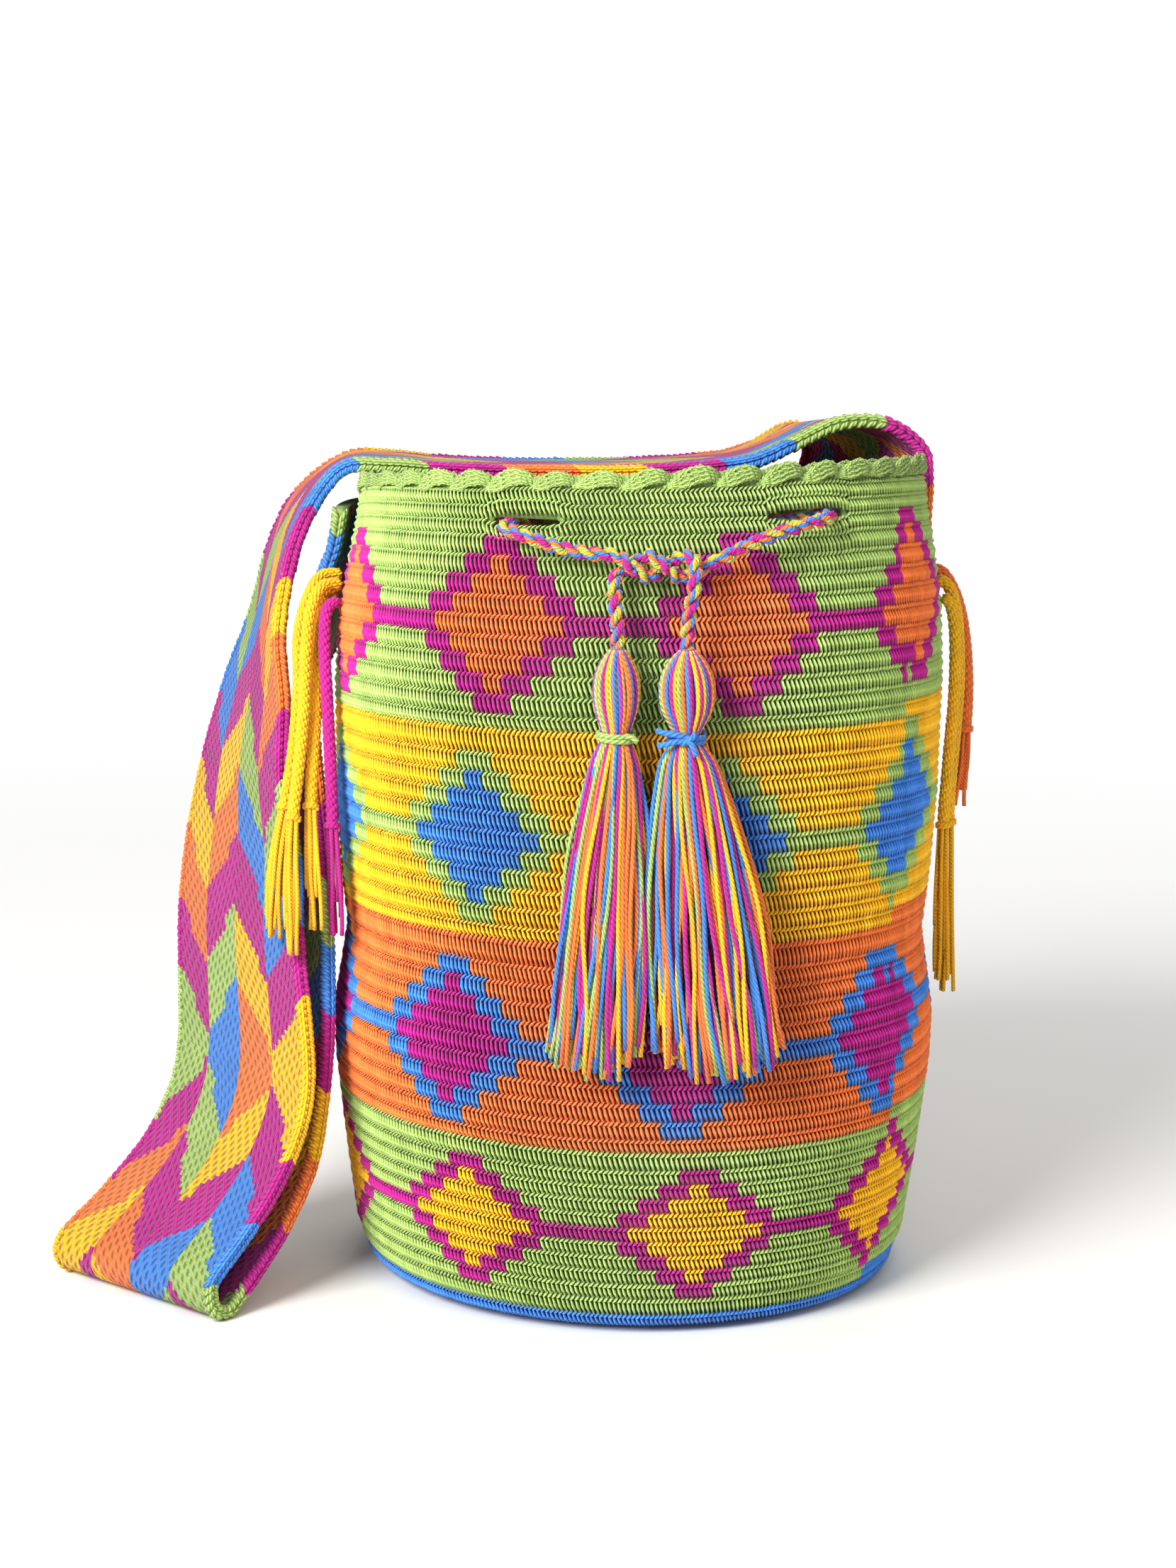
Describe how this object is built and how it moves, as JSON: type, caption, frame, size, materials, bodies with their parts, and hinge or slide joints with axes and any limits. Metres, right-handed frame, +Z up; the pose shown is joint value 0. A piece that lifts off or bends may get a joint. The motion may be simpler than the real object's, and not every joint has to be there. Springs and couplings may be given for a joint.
{
  "type": "shoulder bag",
  "caption": "Round crocheted mochila bag with diamond bands in green, yellow and orange, a drawstring with yarn tassels and a wide woven shoulder strap.",
  "frame": {"origin": "centre of the flat base disc, on the surface that the bag stands on", "axes": "+Z up along the bag's axis, -Y is the front where the drawstring is knotted, +X is to the right seen from the front"},
  "size_m": [0.3376, 0.2439, 0.3155],
  "materials": {
    "crochet_yarn": "matte",
    "woven_yarn": "matte",
    "twisted_yarn": "matte",
    "tassel_yarn": "matte",
    "binding_yarn": "matte",
    "cord_yarn": "matte"
  },
  "bodies": {
    "root": {"bag_body": "crochet_yarn", "shoulder_strap": "woven_yarn", "drawstring": "twisted_yarn", "left_tassel": "tassel_yarn", "left_tassel_binding": "binding_yarn", "right_tassel": "tassel_yarn", "right_tassel_binding": "binding_yarn", "left_strap_cord_1": "cord_yarn", "left_strap_cord_2": "cord_yarn", "left_strap_cord_3": "cord_yarn", "left_strap_cord_4": "cord_yarn", "right_strap_cord_1": "cord_yarn", "right_strap_cord_2": "cord_yarn", "right_strap_cord_3": "cord_yarn"}
  },
  "joints": []
}
